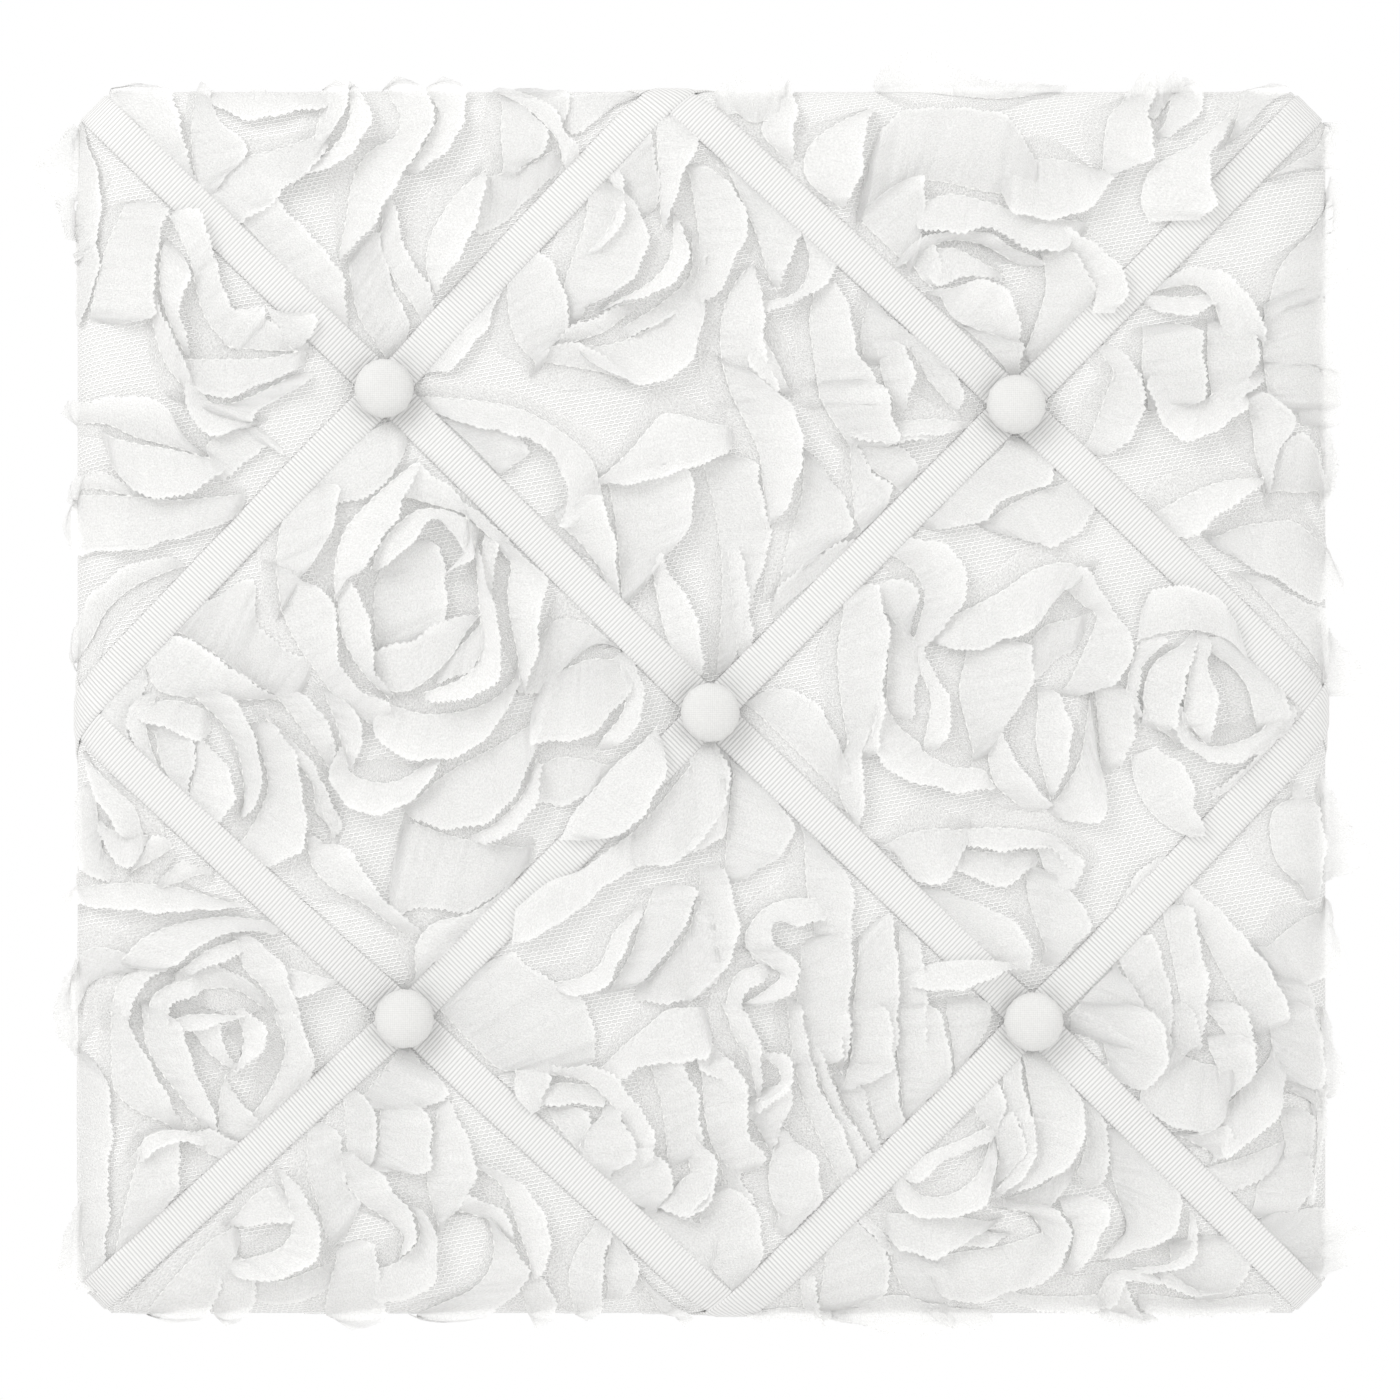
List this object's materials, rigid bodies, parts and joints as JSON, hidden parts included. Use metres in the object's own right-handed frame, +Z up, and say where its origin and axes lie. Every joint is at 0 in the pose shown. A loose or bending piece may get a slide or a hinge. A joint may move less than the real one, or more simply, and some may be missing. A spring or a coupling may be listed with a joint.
{
  "type": "french memo board",
  "caption": "Square padded wall board in white net with chiffon roses, crossed by grosgrain ribbons that hold photographs and notes, with a covered button at each crossing.",
  "frame": {"origin": "middle of the sawtooth hanger's wall side, so the wall's surface is the plane y = 0", "axes": "+Y towards the wall, so the ribboned face looks along -Y; +Z up; +X to the viewer's right"},
  "size_m": [0.3332, 0.0348, 0.3263],
  "materials": {
    "net": "hexagonal nylon net over a plain white lining, matte",
    "chiffon": "sheer white chiffon strips with pinked edges, soft and slightly translucent",
    "grosgrain": "ribbed white grosgrain ribbon, soft sheen",
    "button_cloth": "fine plain-woven white cloth, matte",
    "button_metal": "bright pressed steel",
    "wadding": "soft polyester foam",
    "fibreboard": "raw medium-density fibreboard",
    "felt": "pressed white felt, matte",
    "staple_wire": "bright galvanised wire",
    "hanger_steel": "zinc-plated pressed steel"
  },
  "bodies": {
    "root": {"back_sheet": "felt", "backing_panel": "fibreboard", "button_cloth_lower_left": "button_cloth", "button_cloth_lower_right": "button_cloth", "button_cloth_middle": "button_cloth", "button_cloth_upper_left": "button_cloth", "button_cloth_upper_right": "button_cloth", "button_nail_lower_left": "button_metal", "button_nail_lower_right": "button_metal", "button_nail_middle": "button_metal", "button_nail_upper_left": "button_metal", "button_nail_upper_right": "button_metal", "button_shell_lower_left": "button_metal", "button_shell_lower_right": "button_metal", "button_shell_middle": "button_metal", "button_shell_upper_left": "button_metal", "button_shell_upper_right": "button_metal", "chiffon_rose_01": "chiffon", "chiffon_rose_02": "chiffon", "chiffon_rose_03": "chiffon", "chiffon_rose_04": "chiffon", "chiffon_rose_05": "chiffon", "chiffon_rose_06": "chiffon", "chiffon_rose_07": "chiffon", "chiffon_rose_08": "chiffon", "chiffon_rose_09": "chiffon", "chiffon_rose_10": "chiffon", "chiffon_rose_11": "chiffon", "chiffon_rose_12": "chiffon", "chiffon_rose_13": "chiffon", "chiffon_rose_14": "chiffon", "chiffon_rose_15": "chiffon", "chiffon_rose_16": "chiffon", "chiffon_rose_17": "chiffon", "chiffon_rose_18": "chiffon", "chiffon_rose_19": "chiffon", "chiffon_rose_20": "chiffon", "foam_pad": "wadding", "hanger_tack_left": "hanger_steel", "hanger_tack_right": "hanger_steel", "net_cover": "net", "ribbon_falling_diagonal": "grosgrain", "ribbon_lower_left": "grosgrain", "ribbon_lower_right": "grosgrain", "ribbon_rising_diagonal": "grosgrain", "ribbon_staple_01": "staple_wire", "ribbon_staple_02": "staple_wire", "ribbon_staple_03": "staple_wire", "ribbon_staple_04": "staple_wire", "ribbon_staple_05": "staple_wire", "ribbon_staple_06": "staple_wire", "ribbon_staple_07": "staple_wire", "ribbon_staple_08": "staple_wire", "ribbon_staple_09": "staple_wire", "ribbon_staple_10": "staple_wire", "ribbon_staple_11": "staple_wire", "ribbon_staple_12": "staple_wire", "ribbon_upper_left": "grosgrain", "ribbon_upper_right": "grosgrain", "sawtooth_hanger": "hanger_steel"}
  },
  "joints": []
}
